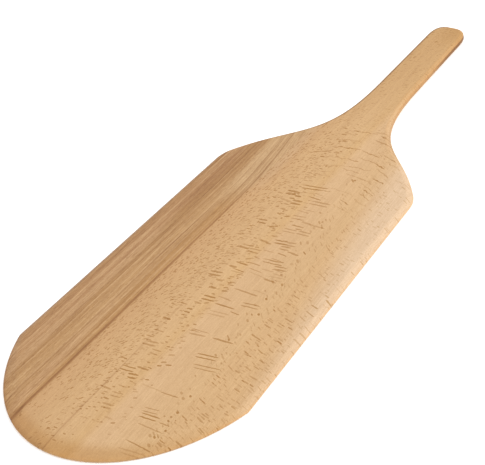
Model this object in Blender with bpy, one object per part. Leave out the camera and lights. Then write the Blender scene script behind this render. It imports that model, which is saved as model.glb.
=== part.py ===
"""Pizza peel: a flat beech board, edge-glued from three staves.

The blade lies along Y with its curved front towards -Y. The handle is cut in one with the middle
stave and points towards +Y. The underside rests on Z = 0, and the origin is under the middle of
the peel. The seams lean a little towards the handle, as the sides of the blade do. Each outer
stave carries a stopped tongue that sits in a groove of the middle stave.
"""

import math

import bmesh
import bpy
from mathutils import Matrix, Vector
from mathutils.geometry import interpolate_bezier

# Plan of the board, in metres
LENGTH = 0.778
BLADE_WIDTH = 0.305
FRONT_DEPTH = 0.1295
FRONT_SEMI_AXIS = 0.162
FRONT_CORNER_RADIUS = 0.009
SIDE_TAPER = 0.0210
SHOULDER_LENGTH = 0.476
SHOULDER_RADIUS = 0.035
SHOULDER_ANGLE = math.radians(52.0)
SHOULDER_PULL = 0.43
NECK_LENGTH = 0.654
NECK_PULL = 0.58
NECK_WIDTH = 0.048
HANDLE_WIDTH = 0.045
HANDLE_CAP = 0.028
HANDLE_CAP_POWER = 3.0

# Thickness and edges
FRONT_THICKNESS = 0.0050
SHOULDER_THICKNESS = 0.0070
HANDLE_THICKNESS = 0.0090
RIM_TOP = 0.0030
FRONT_BEVEL = 0.028
SIDE_BEVEL = 0.0065
HANDLE_ROUND = 0.0028
UNDER_BEVEL = 0.0010

# Staves, and the stopped tongue-and-groove joints between them
LEFT_SEAM_X = -0.0569
RIGHT_SEAM_X = 0.0880
LEFT_SEAM_LEAN = 0.0324
RIGHT_SEAM_LEAN = -0.020
GLUE_GAP = 0.0003
TONGUE_DEPTH = 0.0040
TONGUE_BOTTOM = 0.0017
TONGUE_TOP = 0.0035
TONGUE_ROOT = 0.0030
TONGUE_FROM_FRONT = 0.060
TONGUE_TO_SHOULDER = 0.030

# Fineness of the curves
FRONT_POINTS = 22
CORNER_POINTS = 5
SHOULDER_POINTS = 20
CAP_POINTS = 12
EDGE_STEPS = 4

HALF_BLADE = BLADE_WIDTH / 2
FRONT_Y = -LENGTH / 2
SHOULDER_Y = FRONT_Y + SHOULDER_LENGTH
NECK_Y = FRONT_Y + NECK_LENGTH
CUTTER_MARGIN = 0.030
CREASE_ANGLE = math.radians(25.0)


def clear_scene():
    for item in list(bpy.data.objects):
        bpy.data.objects.remove(item, do_unlink=True)


def smooth_step(value, low, high):
    """0 below low, 1 above high, and an even S between."""
    share = min(max((value - low) / (high - low), 0.0), 1.0)
    return share * share * (3.0 - 2.0 * share)


def mix(first, second, share):
    return first + (second - first) * share


def rounded_corner(corner, arriving, leaving, radius):
    """An arc at a corner between two runs, which are given by their unit directions."""
    side = math.copysign(1.0, arriving.cross(leaving))
    turn = arriving.angle(leaving)
    start = corner - arriving * radius * math.tan(turn / 2)
    centre = start + Vector((-arriving.y, arriving.x)) * side * radius
    spoke = start - centre
    angles = (side * turn * step / (CORNER_POINTS - 1) for step in range(CORNER_POINTS))
    return [centre + Matrix.Rotation(angle, 2) @ spoke for angle in angles]


def front_edge():
    """Right half of the elliptical front edge, from its tip to the blade's full width."""
    reach = 1.0 - math.sqrt(1.0 - (HALF_BLADE / FRONT_SEMI_AXIS) ** 2)
    points = []
    for step in range(FRONT_POINTS + 1):
        x = HALF_BLADE * math.sin(math.pi / 2 * step / FRONT_POINTS)
        rise = 1.0 - math.sqrt(1.0 - (x / FRONT_SEMI_AXIS) ** 2)
        points.append(Vector((x, FRONT_Y + FRONT_DEPTH * rise / reach)))
    return points


def handle_cap():
    """Right half of the rounded handle end, a superellipse."""
    power = 2.0 / HANDLE_CAP_POWER
    points = []
    for step in range(CAP_POINTS + 1):
        angle = math.pi / 2 * step / CAP_POINTS
        x = HANDLE_WIDTH / 2 * max(math.cos(angle), 0.0) ** power
        points.append(Vector((x, LENGTH / 2 - HANDLE_CAP * (1.0 - math.sin(angle) ** power))))
    points[-1].x = 0.0
    return points


def half_outline():
    """Right half of the plan, from the middle of the front edge to the middle of the handle end."""
    front = front_edge()
    cap = handle_cap()
    shoulder = Vector((HALF_BLADE - SIDE_TAPER, SHOULDER_Y))
    neck = Vector((NECK_WIDTH / 2, NECK_Y))
    along_front = (front[-1] - front[-2]).normalized()
    along_side = (shoulder - front[-1]).normalized()
    along_shoulder = Vector((-math.cos(SHOULDER_ANGLE), math.sin(SHOULDER_ANGLE)))
    along_handle = (cap[0] - neck).normalized()

    front_corner = rounded_corner(front[-1], along_front, along_side, FRONT_CORNER_RADIUS)
    front = [p for p in front if p.x < front_corner[0].x - UNDER_BEVEL]
    bend = rounded_corner(shoulder, along_side, along_shoulder, SHOULDER_RADIUS)
    start = bend[-1]
    span = (neck - start).length
    curve = interpolate_bezier(
        start,
        start + along_shoulder * span * SHOULDER_PULL,
        neck - along_handle * span * NECK_PULL,
        neck,
        SHOULDER_POINTS,
    )
    return front + front_corner + bend + [Vector(p) for p in curve[1:]] + cap


def outward_normals(points):
    """Unit normals of the half outline. The two ends lie on the line of symmetry."""
    normals = []
    for index, point in enumerate(points):
        before = points[index - 1] if index else Vector((-points[1].x, points[1].y))
        last = index == len(points) - 1
        after = Vector((-points[-2].x, points[-2].y)) if last else points[index + 1]
        tangent = (point - before).normalized() + (after - point).normalized()
        normals.append(Vector((tangent.y, -tangent.x)).normalized())
    return normals


def thickness(y):
    """The blade thins towards its front and thickens through the neck into the handle."""
    blade = mix(FRONT_THICKNESS, SHOULDER_THICKNESS, min((y - FRONT_Y) / SHOULDER_LENGTH, 1.0))
    return mix(blade, HANDLE_THICKNESS, smooth_step(y, SHOULDER_Y, NECK_Y))


def edge_section(point):
    """Cross-section of the edge at an outline point: pairs of inset and height, underside first."""
    handle = smooth_step(point.y, SHOULDER_Y, NECK_Y)
    on_front = point.y < FRONT_Y + FRONT_DEPTH
    middle = 1.0 - (point.x / HALF_BLADE) ** 2 if on_front else 0.0
    top_inset = mix(mix(SIDE_BEVEL, FRONT_BEVEL, middle), HANDLE_ROUND, handle)
    under = mix(UNDER_BEVEL, HANDLE_ROUND, handle)
    top = thickness(point.y)
    rim = mix(RIM_TOP, HANDLE_THICKNESS - HANDLE_ROUND, handle)
    section = []
    for step in range(EDGE_STEPS + 1):
        share = step / EDGE_STEPS
        angle = math.pi / 2 * share
        inset = mix(1.0 - share, 1.0 - math.sin(angle), handle)
        height = mix(share, 1.0 - math.cos(angle), handle)
        section.append((under * inset, under * height))
    for step in range(EDGE_STEPS + 1):
        share = step / EDGE_STEPS
        angle = math.pi / 2 * share
        inset = mix(share, 1.0 - math.cos(angle), handle)
        height = mix(share, math.sin(angle), handle)
        section.append((top_inset * inset, mix(rim, top, height)))
    return section


def board_mesh():
    """The whole board before it is parted into staves: rings of its edge, and two flat faces."""
    points = half_outline()
    normals = outward_normals(points)
    sections = [edge_section(p) for p in points]
    shape = bmesh.new()
    rings = []
    for level in range(len(sections[0])):
        right = []
        left = []
        for point, normal, section in zip(points, normals, sections):
            inset, height = section[level]
            place = point - normal * inset
            right.append(shape.verts.new((place.x, place.y, height)))
            on_axis = point.x == 0.0
            left.append(right[-1] if on_axis else shape.verts.new((-place.x, place.y, height)))
        rings.append((right, left))
    last = len(points) - 1
    for (right, left), (right_up, left_up) in zip(rings, rings[1:]):
        for i in range(last):
            shape.faces.new((right[i], right[i + 1], right_up[i + 1], right_up[i]))
            shape.faces.new((left[i + 1], left[i], left_up[i], left_up[i + 1]))
    for right, left in (rings[0], rings[-1]):
        for i in range(last):
            corners = (right[i], right[i + 1], left[i + 1], left[i])
            shape.faces.new(tuple(dict.fromkeys(corners)))
    level_top_face(rings[-1])
    bmesh.ops.recalc_face_normals(shape, faces=shape.faces)
    mesh = bpy.data.meshes.new("board")
    shape.to_mesh(mesh)
    shape.free()
    mesh.shade_smooth()
    mesh.set_sharp_from_angle(angle=CREASE_ANGLE)
    return mesh


def level_top_face(ring):
    """Puts the top face's rim on the board's own slope, because the inset moved it along Y."""
    for vertex in {*ring[0], *ring[1]}:
        vertex.co.z = thickness(vertex.co.y)


def wood(name, colour, roughness):
    material = bpy.data.materials.new(name)
    material.use_nodes = True
    shader = material.node_tree.nodes["Principled BSDF"]
    shader.inputs["Base Color"].default_value = (*colour, 1.0)
    shader.inputs["Roughness"].default_value = roughness
    shader.inputs["Metallic"].default_value = 0.0
    material.diffuse_color = (*colour, 1.0)
    return material


def box(name, low, high, lean):
    """A box between two corners, with sides that lean along X by that share of Y.

    It only shapes other objects, so it is kept out of the model.
    """
    shape = bmesh.new()
    bmesh.ops.create_cube(shape, size=1.0)
    low = Vector(low)
    high = Vector(high)
    for vertex in shape.verts:
        vertex.co = low + Vector(((high - low)[i] * (vertex.co[i] + 0.5) for i in range(3)))
        vertex.co.x += lean * vertex.co.y
    mesh = bpy.data.meshes.new(name)
    shape.to_mesh(mesh)
    shape.free()
    guide = bpy.data.objects.new(name, mesh)
    bpy.context.collection.objects.link(guide)
    guide.hide_render = True
    guide.display_type = "WIRE"
    return guide


def combine(target, tool, operation):
    modifier = target.modifiers.new(f"{operation.lower()}_{tool.name}", "BOOLEAN")
    modifier.operation = operation
    modifier.solver = "EXACT"
    modifier.object = tool


def half_space(name, seam_x, lean, side):
    """The space on one side of a seam. side is -1 for the left of it and 1 for the right."""
    reach = LENGTH / 2 + CUTTER_MARGIN
    outside = side * (HALF_BLADE + CUTTER_MARGIN)
    low_x, high_x = sorted((seam_x, outside))
    low = (low_x, -reach, -CUTTER_MARGIN)
    return box(name, low, (high_x, reach, HANDLE_THICKNESS + CUTTER_MARGIN), lean)


def tongue_box(name, seam_x, lean, side, clearance):
    """The tongue on a seam, or with a clearance the groove that takes it."""
    outer_edge = seam_x + side * GLUE_GAP / 2
    root = outer_edge + side * TONGUE_ROOT
    tip = outer_edge - side * (TONGUE_DEPTH + clearance)
    start = FRONT_Y + TONGUE_FROM_FRONT - clearance
    end = SHOULDER_Y - TONGUE_TO_SHOULDER + clearance
    low_x, high_x = sorted((root, tip))
    low = (low_x, start, TONGUE_BOTTOM - clearance)
    return box(name, low, (high_x, end, TONGUE_TOP + clearance), lean)


def stave(name, mesh, material, parent):
    """The whole board, ready to be cut down to one stave."""
    body = bpy.data.objects.new(name, mesh.copy())
    bpy.context.collection.objects.link(body)
    body.data.materials.append(material)
    body.parent = parent
    return body


def build():
    clear_scene()
    peel = bpy.data.objects.new("pizza_peel", None)
    bpy.context.collection.objects.link(peel)
    mesh = board_mesh()

    striped = wood("beech_striped", (0.50, 0.31, 0.155), 0.50)
    flecked = wood("beech_flecked", (0.69, 0.47, 0.255), 0.46)
    pale = wood("beech_pale", (0.75, 0.53, 0.315), 0.46)

    handle_stave = stave("handle_stave", mesh, flecked, peel)
    seams = (
        ("left", -1, LEFT_SEAM_X, LEFT_SEAM_LEAN, striped),
        ("right", 1, RIGHT_SEAM_X, RIGHT_SEAM_LEAN, pale),
    )
    for word, side, seam_x, lean, material in seams:
        outer_face = seam_x + side * GLUE_GAP / 2
        inner_face = seam_x - side * GLUE_GAP / 2
        side_stave = stave(f"{word}_stave", mesh, material, peel)
        combine(side_stave, half_space(f"{word}_blank", outer_face, lean, side), "INTERSECT")
        tongue = tongue_box(f"{word}_tongue", seam_x, lean, side, 0.0)
        combine(side_stave, tongue, "UNION")
        combine(handle_stave, half_space(f"{word}_waste", inner_face, lean, side), "DIFFERENCE")
        groove = tongue_box(f"{word}_groove", seam_x, lean, side, GLUE_GAP)
        combine(handle_stave, groove, "DIFFERENCE")


build()
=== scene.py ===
import math

import bmesh
import bpy
from mathutils import Matrix, Vector
from mathutils.geometry import interpolate_bezier


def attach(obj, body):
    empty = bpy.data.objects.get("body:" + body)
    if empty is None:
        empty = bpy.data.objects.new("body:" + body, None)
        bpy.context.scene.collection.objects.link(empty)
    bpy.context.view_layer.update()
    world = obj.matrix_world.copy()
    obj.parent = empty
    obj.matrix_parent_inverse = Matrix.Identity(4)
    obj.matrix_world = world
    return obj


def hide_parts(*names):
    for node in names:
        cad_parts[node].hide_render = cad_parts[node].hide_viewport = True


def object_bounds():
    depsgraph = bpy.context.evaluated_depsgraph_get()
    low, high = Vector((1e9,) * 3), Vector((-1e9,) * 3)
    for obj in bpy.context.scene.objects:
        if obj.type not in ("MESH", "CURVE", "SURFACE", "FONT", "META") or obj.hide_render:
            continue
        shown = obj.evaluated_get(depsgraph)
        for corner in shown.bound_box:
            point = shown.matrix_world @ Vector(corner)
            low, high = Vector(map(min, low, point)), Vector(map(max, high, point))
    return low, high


# The visual model of a beech pizza peel: three staves cut from one board, each with its own wood.
# The figure of the wood is drawn in the board's own plan, so it runs on through the edges.

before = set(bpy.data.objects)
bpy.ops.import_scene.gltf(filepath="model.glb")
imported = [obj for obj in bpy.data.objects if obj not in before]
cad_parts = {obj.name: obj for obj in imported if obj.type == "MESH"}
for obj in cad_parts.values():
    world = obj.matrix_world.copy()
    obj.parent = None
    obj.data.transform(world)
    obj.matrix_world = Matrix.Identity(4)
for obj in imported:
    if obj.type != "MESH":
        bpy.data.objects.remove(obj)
CAD_BOX = [list(corner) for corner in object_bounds()]

# Plan of the board in metres, as the CAD has it. A pull is a share of the curve's straight span.
FRONT_Y = CAD_BOX[0][1]
END_Y = CAD_BOX[1][1]
HALF_BLADE = 0.1525
FRONT_DEPTH = 0.1295
FRONT_SEMI_AXIS = 0.162
FRONT_CORNER_RADIUS = 0.009
SIDE_TAPER = 0.0210
SHOULDER_Y = FRONT_Y + 0.476
SHOULDER_RADIUS = 0.035
SHOULDER_ANGLE = math.radians(52.0)
SHOULDER_PULL = 0.43
NECK_Y = FRONT_Y + 0.654
NECK_PULL = 0.58
NECK_WIDTH = 0.048
HANDLE_WIDTH = 0.045
HANDLE_CAP = 0.028
HANDLE_CAP_POWER = 3.0

# Thickness and edges. HANDLE_FULLNESS is 0 for a flat chamfer and 1 for a quarter round, BEVEL_EASE
# is 1 for a flat bevel and more for one that curves, and SUPPORT is the width of the rows of faces
# that keep an edge's shading off the flats.
FRONT_THICKNESS = 0.0050
SHOULDER_THICKNESS = 0.0070
HANDLE_THICKNESS = CAD_BOX[1][2]
RIM_TOP = 0.0030
FRONT_BEVEL = 0.028
SIDE_BEVEL = 0.0065
HANDLE_ROUND = 0.0028
HANDLE_FULLNESS = 0.5
UNDER_ROUND = 0.0010
RIM_ROUND = 0.0006
BEVEL_EASE = 1.3
SUPPORT = 0.0017

# The marks of wear and painted light that the mesh carries: how fast the arris, which takes a painted
# highlight, fades up the bevel, the share of the handle's round where its arris begins, and the share
# of the bevel where the bevel's tint, partly painted shade, starts to fade
ARRIS_FADE = 4.0
HANDLE_ARRIS_FROM = 0.75
CREASE_FROM = 0.30

# Edges sharper than this are shaded as edges
SHARP_ANGLE = math.radians(40.0)

# Seams between the staves: where each crosses Y = 0, and how far it leans along X for each Y
LEFT_SEAM_X = -0.0569
RIGHT_SEAM_X = 0.0880
LEFT_SEAM_LEAN = 0.0324
RIGHT_SEAM_LEAN = -0.020
SEAM_GAP = 0.00004
CUT_PRECISION = 1e-6

# Fineness of the mesh. ROUND_SHARE is the share of the top steps that go to the rim's round.
FRONT_POINTS = 90
CORNER_POINTS = 14
SIDE_POINTS = 24
SHOULDER_POINTS = 110
HANDLE_POINTS = 16
CAP_POINTS = 40
UNDER_STEPS = 6
TOP_STEPS = 14
ROUND_SHARE = 0.25

# Camera, as seen from the target
CAMERA_TARGET = Vector((-0.02326, -0.02412, 0.0))
CAMERA_AZIMUTH = math.radians(44.556)
CAMERA_ELEVATION = math.radians(36.507)
CAMERA_ROLL = math.radians(-15.022)
CAMERA_DISTANCE = 2.3545
CAMERA_LENS = 159.71
CAMERA_SENSOR = 36.0
CLIP_START = 0.05
CLIP_END = 60.0

# Studio: a white surround, a soft lamp, and a white floor that glows a little so that it stays white
WORLD_STRENGTH = 1.05
KEY_PLACE = (2.0, 0.9, 1.9)
KEY_SIZE = 1.4
KEY_POWER = 34.0
FLOOR_SIZE = 30.0
FLOOR_DROP = 0.0006
FLOOR_WHITE = 0.93
FLOOR_ROUGHNESS = 0.9
FLOOR_SPECULAR = 0.1
FLOOR_GLOW = 0.22

# How brightly the lights fall on a face that looks up. Wood colours are divided by it.
EXPOSURE = 1.21

# What the surface's own gloss adds to a flat face, of the white studio, in the same measure
GLOSS = 0.036


def smooth_step(value, low, high):
    """0 up to low, 1 from high on, and a smooth rise between them."""
    share = min(max((value - low) / (high - low), 0.0), 1.0)
    return share * share * (3.0 - 2.0 * share)


def mix(first, second, share):
    return first + (second - first) * share


def rounded_corner(corner, arriving, leaving, radius):
    """Points of the arc that rounds a corner between two directions."""
    side = math.copysign(1.0, arriving.cross(leaving))
    turn = arriving.angle(leaving)
    start = corner - arriving * radius * math.tan(turn / 2)
    centre = start + Vector((-arriving.y, arriving.x)) * side * radius
    spoke = start - centre
    angles = (side * turn * step / (CORNER_POINTS - 1) for step in range(CORNER_POINTS))
    return [centre + Matrix.Rotation(angle, 2) @ spoke for angle in angles]


def front_edge():
    """Right half of the blade's front, part of an ellipse, from its middle outwards."""
    reach = 1.0 - math.sqrt(1.0 - (HALF_BLADE / FRONT_SEMI_AXIS) ** 2)
    points = []
    for step in range(FRONT_POINTS + 1):
        x = HALF_BLADE * math.sin(math.pi / 2 * step / FRONT_POINTS)
        rise = 1.0 - math.sqrt(1.0 - (x / FRONT_SEMI_AXIS) ** 2)
        points.append(Vector((x, FRONT_Y + FRONT_DEPTH * rise / reach)))
    return points


def handle_cap():
    """Right half of the handle's rounded end, a squarish ellipse, from its side to its middle."""
    power = 2.0 / HANDLE_CAP_POWER
    points = []
    for step in range(CAP_POINTS + 1):
        angle = math.pi / 2 * step / CAP_POINTS
        x = HANDLE_WIDTH / 2 * max(math.cos(angle), 0.0) ** power
        points.append(Vector((x, END_Y - HANDLE_CAP * (1.0 - math.sin(angle) ** power))))
    points[-1].x = 0.0
    return points


def half_outline():
    """Right half of the plan, from the middle of the front edge to the middle of the handle end."""
    front = front_edge()
    cap = handle_cap()
    shoulder = Vector((HALF_BLADE - SIDE_TAPER, SHOULDER_Y))
    neck = Vector((NECK_WIDTH / 2, NECK_Y))
    along_front = (front[-1] - front[-2]).normalized()
    along_side = (shoulder - front[-1]).normalized()
    along_shoulder = Vector((-math.cos(SHOULDER_ANGLE), math.sin(SHOULDER_ANGLE)))
    along_handle = (cap[0] - neck).normalized()

    front_corner = rounded_corner(front[-1], along_front, along_side, FRONT_CORNER_RADIUS)
    front = [p for p in front if p.x < front_corner[0].x - UNDER_ROUND / 2]
    bend = rounded_corner(shoulder, along_side, along_shoulder, SHOULDER_RADIUS)
    side = [front_corner[-1].lerp(bend[0], step / SIDE_POINTS) for step in range(1, SIDE_POINTS)]
    start = bend[-1]
    span = (neck - start).length
    curve = interpolate_bezier(
        start,
        start + along_shoulder * span * SHOULDER_PULL,
        neck - along_handle * span * NECK_PULL,
        neck,
        SHOULDER_POINTS,
    )
    curve = [Vector(p) for p in curve[1:]]
    handle = [neck.lerp(cap[0], step / HANDLE_POINTS) for step in range(1, HANDLE_POINTS)]
    return front + front_corner + side + bend + curve + handle + cap


def outward_normals(points):
    """Direction away from the board at each point, as if the left half were there too."""
    normals = []
    for index, point in enumerate(points):
        before = points[index - 1] if index else Vector((-points[1].x, points[1].y))
        last = index == len(points) - 1
        after = Vector((-points[-2].x, points[-2].y)) if last else points[index + 1]
        tangent = (point - before).normalized() + (after - point).normalized()
        normals.append(Vector((tangent.y, -tangent.x)).normalized())
    return normals


def blade_thickness(y):
    share = min((y - FRONT_Y) / (SHOULDER_Y - FRONT_Y), 1.0)
    return mix(FRONT_THICKNESS, SHOULDER_THICKNESS, share)


def thickness(y):
    return mix(blade_thickness(y), HANDLE_THICKNESS, smooth_step(y, SHOULDER_Y, NECK_Y))


def edge_section(point):
    """Cross-section of the edge at an outline point, underside first.

    Each entry is inset, height, how near it lies to an arris, and how much of it is bevel.
    """
    handle = smooth_step(point.y, SHOULDER_Y, NECK_Y)
    on_front = point.y < FRONT_Y + FRONT_DEPTH
    middle = 1.0 - (point.x / HALF_BLADE) ** 2 if on_front else 0.0
    width = mix(SIDE_BEVEL, FRONT_BEVEL, middle)
    top = blade_thickness(point.y)
    under = mix(UNDER_ROUND, HANDLE_ROUND, handle)
    section = [(under + SUPPORT, 0.0, 0.0, 0.0)]
    for step in range(UNDER_STEPS + 1):
        angle = math.pi / 2 * step / UNDER_STEPS
        inset = under * (1.0 - math.sin(angle))
        section.append((inset, under * (1.0 - math.cos(angle)), math.sin(2 * angle), 0.0))
    for step in range(TOP_STEPS + 1):
        share = step / TOP_STEPS
        angle = math.pi / 2 * share
        round_inset = HANDLE_ROUND * mix(share, 1.0 - math.cos(angle), HANDLE_FULLNESS)
        round_height = mix(share, math.sin(angle), HANDLE_FULLNESS)
        round_height = HANDLE_THICKNESS - HANDLE_ROUND * (1.0 - round_height)
        if share <= ROUND_SHARE:
            turn = math.pi / 2 * share / ROUND_SHARE
            flat_inset = RIM_ROUND * (1.0 - math.cos(turn))
            flat_height = RIM_TOP - RIM_ROUND * (1.0 - math.sin(turn))
            arris = math.sin(turn)
            bevel = arris
        else:
            run = (share - ROUND_SHARE) / (1.0 - ROUND_SHARE)
            flat_inset = mix(RIM_ROUND, width, run)
            flat_height = mix(RIM_TOP, top, 1.0 - (1.0 - run) ** BEVEL_EASE)
            arris = max(1.0 - ARRIS_FADE * run, 0.0)
            bevel = 1.0 - smooth_step(run, CREASE_FROM, 1.0)
        arris = mix(arris, smooth_step(share, HANDLE_ARRIS_FROM, 1.0), handle)
        inset = mix(flat_inset, round_inset, handle)
        section.append((inset, mix(flat_height, round_height, handle), arris, bevel * middle))
    section.append((section[-1][0] + SUPPORT, thickness(point.y), 0.0, 0.0))
    return section


def board_mesh():
    """The whole board, with two attributes for its wood: arris and bevel, each from 0 to 1."""
    points = half_outline()
    normals = outward_normals(points)
    sections = [edge_section(p) for p in points]
    shape = bmesh.new()
    arris_layer = shape.verts.layers.float.new("arris")
    bevel_layer = shape.verts.layers.float.new("bevel")
    rings = []
    for level in range(len(sections[0])):
        right = []
        left = []
        for point, normal, section in zip(points, normals, sections):
            inset, height, arris, bevel = section[level]
            place = point - normal * inset
            on_axis = point.x == 0.0
            for side, row in ((1, right), (-1, left)):
                if side < 0 and on_axis:
                    row.append(right[-1])
                    continue
                vertex = shape.verts.new((side * place.x, place.y, height))
                vertex[arris_layer] = arris
                vertex[bevel_layer] = bevel
                row.append(vertex)
        rings.append((right, left))
    last = len(points) - 1
    for (right, left), (right_up, left_up) in zip(rings, rings[1:]):
        for i in range(last):
            shape.faces.new((right[i], right[i + 1], right_up[i + 1], right_up[i]))
            shape.faces.new((left[i + 1], left[i], left_up[i], left_up[i + 1]))
    for right, left in (rings[0], rings[-1]):
        for i in range(last):
            corners = (right[i], right[i + 1], left[i + 1], left[i])
            shape.faces.new(tuple(dict.fromkeys(corners)))
    for right, left in rings[-2:]:
        for vertex in {*right, *left}:
            vertex.co.z = thickness(vertex.co.y)
    bmesh.ops.recalc_face_normals(shape, faces=shape.faces)
    return shape


def cut(shape, seam_x, lean, keep):
    """Keeps the part of the board on one side of a seam and closes the cut."""
    normal = Vector((1.0, -lean, 0.0)).normalized() * -keep
    geometry = shape.verts[:] + shape.edges[:] + shape.faces[:]
    place = Vector((seam_x + keep * SEAM_GAP / 2, 0.0, 0.0))
    result = bmesh.ops.bisect_plane(
        shape, geom=geometry, plane_co=place, plane_no=normal, clear_outer=True, dist=CUT_PRECISION
    )
    edges = [item for item in result["geom_cut"] if isinstance(item, bmesh.types.BMEdge)]
    bmesh.ops.holes_fill(shape, edges=edges, sides=0)


def stave(name, board, cuts, material, slot):
    """One piece: the board cut at one seam or two. The slot is its CAD node, which is hidden, and the
    name of its material slot, which is not used.
    """
    shape = board.copy()
    for seam_x, lean, keep in cuts:
        cut(shape, seam_x, lean, keep)
    mesh = bpy.data.meshes.new(name)
    shape.to_mesh(mesh)
    shape.free()
    mesh.shade_smooth()
    mesh.set_sharp_from_angle(angle=SHARP_ANGLE)
    mesh.materials.append(material)
    piece = bpy.data.objects.new(name, mesh)
    bpy.context.collection.objects.link(piece)
    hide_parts(slot[0])
    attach(piece, "root")


def linear(red, green, blue):
    """A finished colour, given as the eye sees it from 0 to 255, as the wood's own colour."""
    values = []
    for value in (red, green, blue):
        share = value / 255
        # the sRGB curve
        light = share / 12.92 if share <= 0.04045 else ((share + 0.055) / 1.055) ** 2.4
        values.append(max(light - GLOSS, 0.0) / EXPOSURE)
    return (*values, 1.0)


MILLIMETRES = 1000.0

# Ray marks. A mark's spread is 0 in its middle and 1 on its outline. It is at full strength up to
# MARK_CORE and gone at MARK_EDGE, and the lighter halo round it is gone at HALO_END.
MARK_SCATTER = 0.9
MARK_TURN = 0.25
MARK_TWIN_FROM = 0.6
MARK_WEAKEST = 0.3
MARK_CORE = 0.35
MARK_EDGE = 1.3
HALO_END = 5.0
HALO = 0.35


class Wood:
    """Builds a shader's nodes with short calls. Lengths in it are millimetres."""

    def __init__(self, name):
        self.material = bpy.data.materials.new(name)
        self.material.use_nodes = True
        self.tree = self.material.node_tree
        self.shader = self.tree.nodes["Principled BSDF"]
        place = self.tree.nodes.new("ShaderNodeTexCoord")
        self.x, self.y, self.z = (
            self.math("MULTIPLY", axis, MILLIMETRES) for axis in self.split(place.outputs["Object"])
        )
        self.normal = self.split(place.outputs["Normal"])

    def feed(self, socket, value):
        if isinstance(value, bpy.types.NodeSocket):
            self.tree.links.new(value, socket)
        else:
            socket.default_value = value

    def node(self, kind, **settings):
        node = self.tree.nodes.new(kind)
        for key, value in settings.items():
            setattr(node, key, value)
        return node

    def split(self, vector):
        node = self.node("ShaderNodeSeparateXYZ")
        self.feed(node.inputs[0], vector)
        return tuple(node.outputs)

    def join(self, x, y, z=0.0):
        node = self.node("ShaderNodeCombineXYZ")
        for socket, value in zip(node.inputs, (x, y, z)):
            self.feed(socket, value)
        return node.outputs[0]

    def math(self, operation, first, second=0.0):
        node = self.node("ShaderNodeMath", operation=operation)
        for socket, value in zip(node.inputs, (first, second)):
            self.feed(socket, value)
        return node.outputs[0]

    def add(self, *values):
        total = values[0]
        for value in values[1:]:
            total = self.math("ADD", total, value)
        return total

    def times(self, *values):
        total = values[0]
        for value in values[1:]:
            total = self.math("MULTIPLY", total, value)
        return total

    def less(self, first, second):
        return self.math("SUBTRACT", first, second)

    def absolute(self, value):
        return self.math("ABSOLUTE", value)

    def over(self, value, divisor):
        return self.math("DIVIDE", value, divisor)

    def step(self, value, low, high):
        """0 below low and 1 above high, or the other way round where low is the higher."""
        node = self.node("ShaderNodeMapRange", interpolation_type="SMOOTHSTEP")
        self.feed(node.inputs["Value"], value)
        node.inputs["From Min"].default_value = min(low, high)
        node.inputs["From Max"].default_value = max(low, high)
        node.inputs["To Min"].default_value = 0.0 if low < high else 1.0
        node.inputs["To Max"].default_value = 1.0 if low < high else 0.0
        return node.outputs["Result"]

    def noise(self, x, y, z=0.0, detail=2.0, rough=0.5):
        """Smooth noise from about -0.5 to 0.5."""
        node = self.node("ShaderNodeTexNoise", noise_dimensions="3D", normalize=True)
        self.feed(node.inputs["Vector"], self.join(x, y, z))
        node.inputs["Scale"].default_value = 1.0
        node.inputs["Detail"].default_value = detail
        node.inputs["Roughness"].default_value = rough
        return self.less(node.outputs["Fac"], 0.5)

    def grain(self, across, along, seed=0.0, detail=2.0):
        """Noise drawn out along the grain, with features of those sizes."""
        across_share = self.over(self.u, across)
        along_share = self.over(self.y, along)
        depth = self.over(self.z, across)
        return self.noise(across_share, self.add(along_share, seed), depth, detail)

    def mix(self, share, first, second):
        node = self.node("ShaderNodeMix", data_type="FLOAT")
        for index, value in ((0, share), (2, first), (3, second)):
            self.feed(node.inputs[index], value)
        return node.outputs[0]

    def colour(self, share, first, second, blend="MIX"):
        node = self.node("ShaderNodeMix", data_type="RGBA", blend_type=blend)
        for index, value in ((0, share), (6, first), (7, second)):
            self.feed(node.inputs[index], value)
        return node.outputs[2]

    def ramp(self, value, low, high, stops):
        """A colour band between two values. Each stop is a place and a colour."""
        node = self.node("ShaderNodeValToRGB")
        self.feed(node.inputs[0], self.over(self.less(value, low), high - low))
        elements = node.color_ramp.elements
        while len(elements) < len(stops):
            elements.new(0.5)
        for element, (place, tint) in zip(elements, stops):
            element.position = (place - low) / (high - low)
            element.color = linear(*tint)
        return node.outputs["Color"]

    def marks(self, seed, cell, length, width, where, tilt=None, twin=0.0, bend=0.8):
        """Scattered ray marks, each a dash in the middle of its own cell, as a mask.

        The mask is below zero round a mark, where the wood is a little lighter.

        where and tilt are functions of a cell's centre: how many of the cells there have a mark,
        and how far it turns from straight across the grain. Where twin is given, some marks are
        pairs, that far each side of their middle. bend is how much they waver.
        """
        cell_x, cell_y = cell
        shift_x = 31.7 * seed + 500.0
        shift_y = 17.3 * seed + 900.0
        place_x = self.over(self.add(self.x, shift_x), cell_x)
        place_y = self.over(self.add(self.y, shift_y), cell_y)
        cells = self.node("ShaderNodeTexVoronoi", voronoi_dimensions="2D", feature="F1")
        self.feed(cells.inputs["Vector"], self.join(place_x, place_y))
        cells.inputs["Scale"].default_value = 1.0
        cells.inputs["Randomness"].default_value = MARK_SCATTER
        centre_x, centre_y, _ = self.split(cells.outputs["Position"])
        centre_x = self.less(self.times(centre_x, cell_x), shift_x)
        centre_y = self.less(self.times(centre_y, cell_y), shift_y)
        off_x = self.less(self.x, centre_x)
        off_y = self.less(self.y, centre_y)

        # three even draws for each cell, and two more made from their later digits
        draws = self.node("ShaderNodeSeparateColor")
        self.feed(draws.inputs[0], cells.outputs["Color"])
        first, second, third = draws.outputs
        fourth = self.math("FRACT", self.times(first, 17.31))
        fifth = self.math("FRACT", self.times(second, 9.7))

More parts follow.
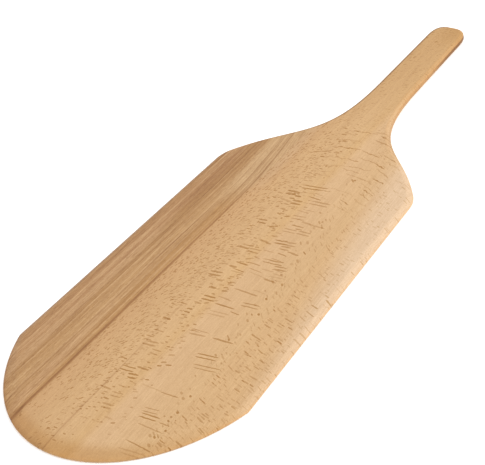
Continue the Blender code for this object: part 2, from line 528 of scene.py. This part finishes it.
        turn = self.times(self.less(fourth, 0.5), MARK_TURN)
        if tilt:
            turn = self.add(turn, tilt(centre_x, centre_y))
        cosine = self.math("COSINE", turn)
        sine = self.math("SINE", turn)
        along = self.add(self.times(off_x, cosine), self.times(off_y, sine))
        beside = self.less(self.times(off_y, cosine), self.times(off_x, sine))
        if bend:
            sway = self.noise(self.over(self.x, 6.0), self.over(self.y, 5.0), seed)
            beside = self.add(beside, self.times(sway, bend * 2.0))
        if twin:
            split = self.less(self.absolute(beside), twin)
            beside = self.mix(self.math("GREATER_THAN", fourth, MARK_TWIN_FROM), beside, split)
        half_length = self.times(self.add(first, 0.45), length / 2)
        half_width = self.times(self.add(self.times(second, 0.7), 0.65), width / 2)
        along_share = self.math("POWER", self.absolute(self.over(along, half_length)), 4.0)
        beside_share = self.math("POWER", self.absolute(self.over(beside, half_width)), 2.0)
        spread = self.add(along_share, beside_share)
        inside = self.step(spread, MARK_EDGE, MARK_CORE)
        outside = self.step(spread, MARK_CORE, MARK_EDGE)
        rim = self.times(self.step(spread, HALO_END, MARK_EDGE), outside, HALO)
        chosen = self.math("LESS_THAN", third, where(centre_x, centre_y))
        return self.times(self.less(inside, rim), chosen, self.mix(fifth, MARK_WEAKEST, 1.0))

    def attribute(self, name):
        return self.node("ShaderNodeAttribute", attribute_name=name).outputs["Fac"]

    def bump(self, height, distance, strength):
        node = self.node("ShaderNodeBump")
        node.inputs["Strength"].default_value = strength
        node.inputs["Distance"].default_value = distance
        self.feed(node.inputs["Height"], height)
        return node.outputs["Normal"]


# What the wood's colour is multiplied by at each feature
MARK_TINT = (0.60, 0.45, 0.19, 1.0)
HALO_TINT = (1.14, 1.17, 1.22, 1.0)
GROWTH_TINT = (0.66, 0.54, 0.41, 1.0)
# the front bevel: partly the colour of its cut fibres, partly painted shade where it tilts away from the
# light
BEVEL_FIBRE_AND_SHADE_TINT = (0.84, 0.74, 0.56, 1.0)
END_GRAIN_TINT = (0.82, 0.72, 0.56, 1.0)
# painted highlight, where the edges catch the light
ARRIS_HIGHLIGHT_TINT = (1.05, 0.98, 0.84, 1.0)
# painted shade, on the left arris and on the handle's right side
PAINTED_SHADE_TINT = (0.44, 0.36, 0.26, 1.0)
SIDE_TINT = (1.02, 0.93, 0.80, 1.0)

# Finished colours
MIDDLE_COLOUR = (216, 177, 131)
# painted sheen of light, on the blade's right margin
SHEEN_MARGIN_COLOUR = (226, 194, 159)
PALE_LINE_COLOUR = (224, 186, 142)
THIN_LINE_COLOUR = (214, 175, 131)
BAND_COLOUR = (207, 167, 126)
NECK_LIGHT_COLOUR = (206, 170, 128)
REDDISH_COLOUR = (172, 128, 88)
HANDLE_COLOUR = (206, 165, 117)
HANDLE_END_COLOUR = (198, 155, 104)
SMOOTH_COLOUR = (209, 172, 132)

# How the grain coordinate u follows the sides' taper, leans, and wanders
GRAIN_FAN = 0.0004
GRAIN_LEAN = -0.0110
GRAIN_WANDER = 2.4

WOOD_ROUGHNESS = 0.56
WOOD_IOR = 1.46
WOOD_SPECULAR = 0.42
RELIEF_DEPTH = 0.00012
RELIEF_STRENGTH = 0.55

# Height in millimetres at which the painted shade on the handle's right side begins, and where it is
# full
SHADE_TOP = 6.6
SHADE_FULL = 5.4


def start_wood(name):
    """Wood with its grain coordinate u."""
    wood = Wood(name)
    fan = wood.add(wood.times(wood.y, GRAIN_FAN), 1.0)
    drift = wood.noise(wood.over(wood.x, 70.0), wood.over(wood.y, 170.0), 3.0)
    lean = wood.times(wood.y, GRAIN_LEAN)
    wood.u = wood.add(wood.times(wood.x, fan), lean, wood.times(drift, GRAIN_WANDER))
    return wood


def tinted(wood, share, colour, tint):
    """The colour, multiplied by a tint where the share is 1."""
    return wood.colour(share, colour, wood.colour(1.0, colour, tint, "MULTIPLY"))


def finish_wood(wood, colour, marks, streaks, bevel_share=1.0):
    """Adds what every stave has: fibres, pores, the edges' wear and their painted light and shade, end
    grain, gloss and relief.
    """
    fine = wood.grain(0.55, 9.0, 1.0)
    medium = wood.grain(1.5, 38.0, 5.0, 3.0)
    broad = wood.grain(9.0, 260.0, 9.0)
    cloud = wood.noise(wood.over(wood.x, 38.0), wood.over(wood.y, 50.0), 7.0, 3.0)
    speckle = wood.noise(wood.over(wood.x, 1.3), wood.over(wood.y, 1.9), 11.0, 1.0)
    shade = wood.add(
        1.0,
        wood.times(fine, 0.50 * streaks),
        wood.times(medium, 0.36 * streaks),
        wood.times(broad, 0.10),
        wood.times(cloud, 0.09),
        wood.times(speckle, 0.24),
    )
    # a darker fibre is also a warmer one, so green and blue change more than red
    green = wood.add(1.0, wood.times(wood.less(shade, 1.0), 1.35))
    blue = wood.add(1.0, wood.times(wood.less(shade, 1.0), 1.8))
    colour = wood.colour(1.0, colour, wood.join(shade, green, blue), "MULTIPLY")
    colour = tinted(wood, wood.math("MAXIMUM", marks, 0.0), colour, MARK_TINT)
    colour = tinted(wood, wood.math("MAXIMUM", wood.times(marks, -1.0), 0.0), colour, HALO_TINT)
    pore = wood.step(wood.grain(0.4, 3.4, 21.0, 1.0), 0.12, 0.24)
    colour = tinted(wood, wood.times(pore, 0.30), colour, MARK_TINT)

    # the front bevel, darker and warmer: partly its cut fibres' colour, partly painted shade
    bevel = wood.times(wood.attribute("bevel"), bevel_share)
    colour = tinted(wood, bevel, colour, BEVEL_FIBRE_AND_SHADE_TINT)
    level = wood.absolute(wood.normal[2])
    upright = wood.step(level, 0.80, 0.35)
    end_grain = wood.times(wood.step(wood.absolute(wood.normal[1]), 0.35, 0.8), upright)
    colour = tinted(wood, wood.times(upright, wood.less(1.0, end_grain)), colour, SIDE_TINT)
    dots = wood.noise(wood.over(wood.u, 0.35), wood.over(wood.z, 0.35), wood.y, 1.0)
    rings = wood.noise(wood.over(wood.u, 2.4), wood.over(wood.z, 6.0), 2.0, 1.0)
    end_share = wood.times(end_grain, wood.add(0.75, wood.times(dots, 0.9), wood.times(rings, 0.6)))
    colour = tinted(wood, end_share, colour, END_GRAIN_TINT)
    arris = wood.attribute("arris")
    # painted highlight along the arrises, lighter and yellower where the edges catch the light
    arris_highlight = wood.times(arris, wood.add(0.55, wood.grain(3.0, 25.0, 31.0)))
    colour = tinted(wood, arris_highlight, colour, ARRIS_HIGHLIGHT_TINT)

    # painted shade: a thin dark line on the left arris, and the handle's right side, darker towards its
    # end
    left_share = wood.mix(wood.step(wood.y, 60.0, 140.0), 0.35, 1.7)
    left_edge = wood.times(arris, wood.step(wood.x, 0.0, -15.0), left_share)
    handle_end = wood.mix(wood.step(wood.y, 290.0, 340.0), 0.25, 0.95)
    on_handle = wood.times(wood.step(wood.y, 110.0, 170.0), wood.step(wood.x, 8.0, 18.0))
    below = wood.times(wood.step(wood.z, SHADE_TOP, SHADE_FULL), wood.step(level, 0.9, 0.7))
    painted_shade = wood.math("MAXIMUM", left_edge, wood.times(handle_end, on_handle, below))
    colour = tinted(wood, painted_shade, colour, PAINTED_SHADE_TINT)
    wood.feed(wood.shader.inputs["Base Color"], colour)

    rough = wood.add(
        WOOD_ROUGHNESS,
        wood.times(fine, 0.14),
        wood.times(medium, 0.08),
        wood.times(marks, -0.10),
        wood.times(end_grain, 0.14),
        wood.times(arris, -0.06),
    )
    wood.feed(wood.shader.inputs["Roughness"], rough)
    # the marks stay out of the relief, which would ask for more nodes than a render can hold
    height = wood.add(wood.times(fine, 0.5), wood.times(pore, -0.5))
    wood.feed(wood.shader.inputs["Normal"], wood.bump(height, RELIEF_DEPTH, RELIEF_STRENGTH))
    wood.shader.inputs["IOR"].default_value = WOOD_IOR
    wood.shader.inputs["Specular IOR Level"].default_value = WOOD_SPECULAR
    return wood.material


def striped_beech():
    """The left stave: plain-sawn, with lengthwise growth lines."""
    wood = start_wood("beech_striped")
    # behind the middle of the blade the lines near the seam swing outwards
    above = wood.math("MAXIMUM", wood.less(wood.y, 10.0), 0.0)
    swing = wood.times(wood.math("POWER", above, 2.0), wood.step(wood.x, -120.0, -50.0), 0.0009)
    wood.u = wood.add(wood.u, swing)
    stops = (
        (-152.0, (178, 138, 96)),
        (-134.0, (172, 130, 88)),
        (-124.0, (186, 144, 103)),
        (-113.0, (189, 147, 106)),
        (-106.0, (177, 136, 92)),
        (-96.0, (184, 142, 98)),
        (-86.0, (193, 152, 107)),
        (-76.0, (192, 151, 107)),
        (-70.0, (183, 140, 94)),
        (-62.0, (190, 146, 98)),
        (-54.0, (201, 158, 112)),
    )
    colour = wood.ramp(wood.u, -160.0, -40.0, stops)
    reddish = wood.times(
        wood.step(wood.absolute(wood.add(wood.u, 112.0)), 16.0, 5.0),
        wood.step(wood.y, -80.0, 30.0),
        wood.step(wood.y, 120.0, 70.0),
    )
    colour = wood.colour(wood.times(reddish, 0.7), colour, linear(*REDDISH_COLOUR))
    light = wood.times(wood.step(wood.y, -10.0, 60.0), wood.step(wood.u, -92.0, -80.0))
    colour = wood.colour(wood.times(light, 0.85), colour, linear(*NECK_LIGHT_COLOUR))

    # two light bands of the front half, one along the side and one along the seam
    outer = wood.absolute(wood.add(wood.x, wood.times(wood.y, -0.05), 107.5))
    outer_band = wood.times(wood.step(outer, 8.0, 2.0), wood.step(wood.y, -20.0, -80.0))
    inner = wood.absolute(wood.add(wood.x, 82.0))
    inner_band = wood.times(wood.step(inner, 9.0, 2.0), wood.step(wood.y, -140.0, -280.0))
    bands = wood.times(wood.add(outer_band, inner_band), 0.55)
    colour = wood.colour(bands, colour, linear(*BAND_COLOUR))

    thin = wood.grain(1.1, 300.0, 41.0, 2.0)
    wide = wood.grain(3.2, 420.0, 47.0, 2.0)
    dark = wood.add(wood.step(thin, 0.03, 0.22), wood.times(wood.step(wide, 0.02, 0.2), 0.8))
    pale = wood.add(wood.step(thin, -0.05, -0.24), wood.step(wide, -0.06, -0.24))
    colour = tinted(wood, wood.times(dark, 0.58), colour, GROWTH_TINT)
    colour = wood.colour(wood.times(pale, 0.34), colour, linear(*PALE_LINE_COLOUR))

    # the growth line beside the seam, dark at the front, and a broken one further out
    front = wood.step(wood.y, 60.0, -250.0)
    from_line = wood.over(wood.absolute(wood.add(wood.u, 58.2)), wood.mix(front, 1.7, 2.7))
    growth = wood.times(wood.less(1.0, from_line), wood.mix(front, 1.0, 1.35))
    growth = wood.math("MAXIMUM", growth, 0.0)
    broken = wood.times(
        wood.step(wood.absolute(wood.add(wood.u, 78.5)), 1.2, 0.2),
        wood.mix(wood.step(wood.y, -60.0, -260.0), 0.25, 0.6),
    )
    colour = tinted(wood, wood.math("MAXIMUM", growth, broken), colour, GROWTH_TINT)
    for place, strength in ((-119.0, 0.45), (-80.5, 0.35), (-64.0, 0.30)):
        light_line = wood.step(wood.absolute(wood.less(wood.u, place)), 1.8, 0.3)
        colour = wood.colour(wood.times(light_line, strength), colour, linear(*THIN_LINE_COLOUR))

    def everywhere(x, y):
        return 0.5

    def lengthwise(x, y):
        return 1.52

    marks = wood.marks(1, (2.8, 7.0), 5.0, 1.1, everywhere, lengthwise, bend=0.0)
    return finish_wood(wood, colour, wood.times(marks, 0.42), 1.3, 0.45)


def sheen_margin(wood):
    """How far a place lies in the margin along the blade's right side that is painted paler, as a sheen
    of light.
    """
    return wood.step(wood.add(wood.x, wood.times(wood.y, 0.19)), 85.0, 125.0)


def flecked_beech():
    """The middle stave: rift-sawn specks that lengthen into ray flecks across the grain."""
    wood = start_wood("beech_flecked")
    stops = (
        (-62.0, (201, 159, 113)),
        (-50.0, (207, 165, 120)),
        (-30.0, (211, 171, 125)),
        (0.0, MIDDLE_COLOUR),
        (10.0, (216, 177, 130)),
        (18.0, (215, 175, 126)),
        (28.0, (219, 181, 138)),
        (40.0, (217, 179, 136)),
        (90.0, (216, 178, 132)),
    )
    colour = wood.ramp(wood.u, -70.0, 100.0, stops)
    handle = wood.step(wood.y, 150.0, 330.0)
    colour = wood.colour(handle, colour, linear(*HANDLE_COLOUR))
    end = wood.times(wood.step(wood.y, 330.0, 385.0), wood.step(wood.x, -25.0, 15.0))
    colour = wood.colour(end, colour, linear(*HANDLE_END_COLOUR))
    # the blade's right margin, painted paler as a sheen of light
    side = wood.times(sheen_margin(wood), wood.step(wood.y, 190.0, 90.0))
    colour = wood.colour(side, colour, linear(*SHEEN_MARGIN_COLOUR))
    smooth = wood.times(wood.step(wood.x, -38.0, -48.0), wood.step(wood.y, 20.0, 80.0))
    colour = wood.colour(wood.times(smooth, 0.7), colour, linear(*SMOOTH_COLOUR))

    line = wood.times(
        wood.step(wood.absolute(wood.add(wood.u, 6.6)), 1.3, 0.2),
        wood.mix(wood.step(wood.y, -120.0, -300.0), 0.10, 0.55),
    )
    colour = tinted(wood, line, colour, GROWTH_TINT)

    # Where each kind of mark lies and how it leans, by its cell's centre in millimetres

    def zone(value, low, rise, high, fall):
        """1 between low and high, with soft ends of those lengths inside them."""
        return wood.times(wood.step(value, low, low + rise), wood.step(value, high, high - fall))

    def ray(x, y):
        """The coordinate across the board that the groups of long flecks follow."""
        return wood.add(x, wood.times(y, 0.09))

    def on_blade(y):
        return zone(y, -385.0, 45.0, 175.0, 50.0)

    def below_arches(y):
        return zone(y, -385.0, 45.0, 110.0, 80.0)

    def specks(x, y):
        patch = wood.noise(wood.over(x, 9.0), wood.over(y, 22.0), 37.0)
        there = wood.mix(wood.times(on_blade(y), wood.step(y, -350.0, -250.0)), 0.25, 0.68)
        return wood.times(zone(x, -72.0, 4.0, 4.0, 26.0), wood.add(there, wood.times(patch, 1.9)))

    def speck_tilt(x, y):
        return wood.mix(wood.step(x, -55.0, -10.0), 1.35, 0.75)

    def blobs(x, y):
        return wood.times(zone(x, -34.0, 22.0, 30.0, 14.0), on_blade(y), 0.45)

    def column(x, y):
        lane = wood.add(x, wood.times(wood.step(y, -300.0, -340.0), -22.0))
        return wood.times(zone(lane, -12.0, 5.0, 20.0, 6.0), below_arches(y), 0.78)

    def second_column(x, y):
        return wood.times(zone(ray(x, y), 14.0, 8.0, 60.0, 8.0), below_arches(y), 0.78)

    def upper_flecks(x, y):
        return wood.times(zone(ray(x, y), 4.0, 8.0, 60.0, 10.0), zone(y, -130.0, 50.0, 80.0, 60.0), 0.46)

    def fringe(x, y):
        inner = zone(ray(x, y), 0.0, 6.0, 18.0, 6.0)
        outer = zone(ray(x, y), 48.0, 6.0, 72.0, 10.0)
        return wood.times(wood.add(inner, outer), below_arches(y), 0.5)

    def fringe_tilt(x, y):
        return wood.mix(wood.step(ray(x, y), 25.0, 50.0), 0.35, -0.75)

    def slants(x, y):
        return wood.times(zone(ray(x, y), 54.0, 16.0, 140.0, 10.0), on_blade(y), 0.46)

    def slant_tilt(x, y):
        steep = wood.mix(wood.step(y, -20.0, 70.0), -0.95, -0.55)
        return wood.mix(wood.step(x, 70.0, 105.0), steep, -0.35)

    def arches(x, y):
        return wood.times(wood.step(x, -22.0, 2.0), zone(y, 20.0, 50.0, 190.0, 35.0), 0.88)

    def arch_tilt(x, y):
        return wood.times(wood.less(x, 34.0), -0.0080)

    def knots(x, y):
        return wood.times(zone(x, -16.0, 6.0, 10.0, 8.0), zone(y, 10.0, 60.0, 200.0, 40.0), 0.6)

    def handle_marks(x, y):
        return wood.times(wood.step(y, 120.0, 190.0), 0.45)

    # each kind's marks, and how strong they are
    layers = (
        (wood.marks(2, (3.7, 4.5), 4.7, 1.6, specks, speck_tilt, bend=0.0), 0.86),
        (wood.marks(3, (5.4, 4.8), 4.2, 1.9, blobs, bend=0.4), 0.85),
        (wood.marks(4, (18.0, 12.0), 16.0, 2.6, column, twin=2.6), 1.0),
        (wood.marks(5, (31.0, 12.0), 30.0, 2.1, second_column, twin=2.4), 0.95),
        (wood.marks(12, (17.0, 7.5), 15.0, 1.8, upper_flecks, twin=2.2), 0.9),
        (wood.marks(6, (6.8, 6.2), 5.6, 2.5, fringe, fringe_tilt, bend=0.6), 0.95),
        (wood.marks(7, (6.8, 5.6), 7.0, 1.5, slants, slant_tilt, bend=0.4), 0.52),
        (wood.marks(8, (34.0, 8.5), 38.0, 1.5, arches, arch_tilt, bend=2.6), 0.95),
        (wood.marks(13, (9.0, 5.5), 8.0, 1.9, knots, bend=1.0), 0.75),
        (wood.marks(11, (3.4, 3.4), 3.6, 1.2, handle_marks, bend=0.3), 0.50),
    )
    marks = 0.0
    for mask, strength in layers:
        marks = wood.add(marks, wood.times(mask, strength))
    marks = wood.math("MINIMUM", marks, 1.0)
    return finish_wood(wood, colour, marks, 0.62)


def pale_beech():
    """The right stave: paler along its edge with a painted sheen of light, and with short marks that
    lean down towards its edge.
    """
    wood = start_wood("beech_pale")
    # the margin along the edge, painted paler as a sheen of light
    side = sheen_margin(wood)
    colour = wood.colour(side, linear(*MIDDLE_COLOUR), linear(*SHEEN_MARGIN_COLOUR))

    def slants(x, y):
        return wood.mix(side, 0.7, 0.45)

    def slant_tilt(x, y):
        return wood.mix(wood.step(x, 70.0, 105.0), -0.95, -0.35)

    def long_marks(x, y):
        return wood.times(wood.step(y, -60.0, -130.0), 0.55)

    def long_tilt(x, y):
        return -0.32

    short = wood.times(wood.marks(7, (6.8, 5.6), 7.5, 1.5, slants, slant_tilt, bend=0.4), 0.60)
    long = wood.times(wood.marks(10, (14.0, 9.0), 12.0, 1.8, long_marks, long_tilt), 0.85)
    return finish_wood(wood, colour, wood.add(short, long), 0.62, 0.8)


def add_peel():
    board = board_mesh()
    left = (LEFT_SEAM_X, LEFT_SEAM_LEAN)
    right = (RIGHT_SEAM_X, RIGHT_SEAM_LEAN)
    stave("left_board", board, ((*left, -1),), striped_beech(), ("left_stave", "beech_striped"))
    stave(
        "handle_board",
        board,
        ((*left, 1), (*right, -1)),
        flecked_beech(),
        ("handle_stave", "beech_flecked"),
    )
    stave("right_board", board, ((*right, 1),), pale_beech(), ("right_stave", "beech_pale"))
    board.free()


def add_floor():
    bpy.ops.mesh.primitive_plane_add(size=FLOOR_SIZE, location=(0.0, 0.0, -FLOOR_DROP))
    floor = bpy.context.object
    floor.name = "floor"
    material = bpy.data.materials.new("floor_white")
    material.use_nodes = True
    shader = material.node_tree.nodes["Principled BSDF"]
    shader.inputs["Base Color"].default_value = (FLOOR_WHITE, FLOOR_WHITE, FLOOR_WHITE, 1.0)
    shader.inputs["Roughness"].default_value = FLOOR_ROUGHNESS
    shader.inputs["Specular IOR Level"].default_value = FLOOR_SPECULAR
    shader.inputs["Emission Color"].default_value = (1.0, 1.0, 1.0, 1.0)
    shader.inputs["Emission Strength"].default_value = FLOOR_GLOW
    floor.data.materials.append(material)


def add_key_light():
    """A round soft lamp that points at the middle of the peel."""
    data = bpy.data.lights.new("key", "AREA")
    data.shape = "DISK"
    data.size = KEY_SIZE
    data.energy = KEY_POWER
    lamp = bpy.data.objects.new("key", data)
    lamp.location = KEY_PLACE
    lamp.rotation_euler = (-Vector(KEY_PLACE)).to_track_quat("-Z", "Y").to_euler()
    bpy.context.collection.objects.link(lamp)


def add_lighting():
    world = bpy.data.worlds.new("studio")
    world.use_nodes = True
    background = world.node_tree.nodes["Background"]
    background.inputs["Color"].default_value = (1.0, 1.0, 1.0, 1.0)
    background.inputs["Strength"].default_value = WORLD_STRENGTH
    bpy.context.scene.world = world
    add_key_light()
    bpy.context.scene.view_settings.view_transform = "Standard"


def add_camera():
    azimuth, elevation = CAMERA_AZIMUTH, CAMERA_ELEVATION
    back = Vector(
        (
            math.sin(azimuth) * math.cos(elevation),
            -math.cos(azimuth) * math.cos(elevation),
            math.sin(elevation),
        )
    )
    level = (-back).cross(Vector((0.0, 0.0, 1.0))).normalized()
    upright = level.cross(-back)
    right = math.cos(CAMERA_ROLL) * level + math.sin(CAMERA_ROLL) * upright
    up = math.cos(CAMERA_ROLL) * upright - math.sin(CAMERA_ROLL) * level
    data = bpy.data.cameras.new("camera")
    data.sensor_width = CAMERA_SENSOR
    data.lens = CAMERA_LENS
    data.clip_start = CLIP_START
    data.clip_end = CLIP_END
    camera = bpy.data.objects.new("camera", data)
    bpy.context.collection.objects.link(camera)
    turn = Matrix((right, up, back)).transposed().to_4x4()
    camera.matrix_world = Matrix.Translation(CAMERA_TARGET + back * CAMERA_DISTANCE) @ turn
    bpy.context.scene.camera = camera


add_camera()
add_peel()
add_floor()
add_lighting()
